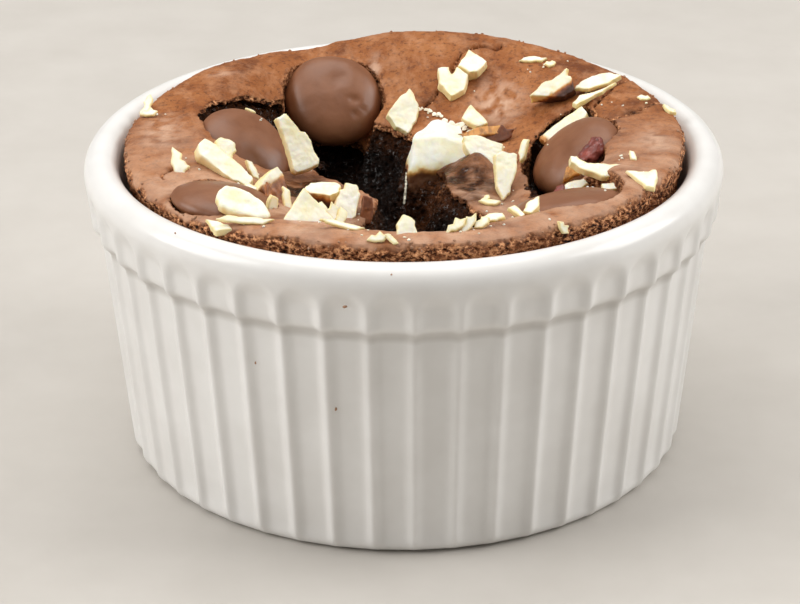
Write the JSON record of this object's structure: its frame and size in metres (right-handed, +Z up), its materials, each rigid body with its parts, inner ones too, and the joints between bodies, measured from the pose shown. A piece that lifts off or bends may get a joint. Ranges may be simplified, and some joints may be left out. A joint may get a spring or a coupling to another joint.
{
  "type": "brownie in a ramekin",
  "caption": "Chocolate brownie baked in a fluted round ramekin, sunk in the middle over a torn molten pit, topped with chocolate buttons, a white chocolate chunk and chopped almonds.",
  "frame": {"origin": "middle of the dish's foot, on the surface it stands on", "axes": "+Z up, front of the dish towards -Y, +X to its right"},
  "size_m": [0.1, 0.1, 0.0539],
  "materials": {
    "white_glaze": "gloss",
    "chocolate_crumb": "satin baked crust over moist dark crumb",
    "milk_chocolate": "softened, satin",
    "white_chocolate": "softened, satin",
    "almond_flesh": "matt, chopped",
    "almond_skin": "matt skin with cut flesh",
    "red_brown_chip": "wrinkled, dull"
  },
  "bodies": {
    "root": {"almond_back_high": "almond_flesh", "almond_back_low": "almond_flesh", "almond_bar": "almond_flesh", "almond_bar_flake": "almond_flesh", "almond_block": "almond_flesh", "almond_by_back_button": "almond_flesh", "almond_by_chunk": "almond_flesh", "almond_corner": "almond_flesh", "almond_cross_cut": "almond_flesh", "almond_curl": "almond_flesh", "almond_dark_bit": "almond_skin", "almond_edge_chip": "almond_flesh", "almond_front_flake": "almond_flesh", "almond_front_sliver": "almond_flesh", "almond_front_wedge": "almond_flesh", "almond_half_kernel": "almond_flesh", "almond_hanging": "almond_flesh", "almond_low_wedge": "almond_flesh", "almond_on_lip": "almond_flesh", "almond_orange_chip": "almond_flesh", "almond_right_flake": "almond_flesh", "almond_rim_slice": "almond_flesh", "almond_rim_sliver": "almond_flesh", "almond_shelf_sliver": "almond_flesh", "almond_skin_side": "almond_skin", "almond_skin_strip": "almond_skin", "almond_sliver": "almond_flesh", "almond_small_block": "almond_flesh", "almond_strip": "almond_flesh", "almond_toasted": "almond_flesh", "almond_triangle": "almond_flesh", "almond_wedge": "almond_flesh", "brownie": "chocolate_crumb", "button_back": "milk_chocolate", "button_front_left": "milk_chocolate", "button_front_right": "milk_chocolate", "button_left": "milk_chocolate", "button_right": "milk_chocolate", "ramekin": "white_glaze", "red_chip": "red_brown_chip", "white_chunk": "white_chocolate"}
  },
  "joints": []
}
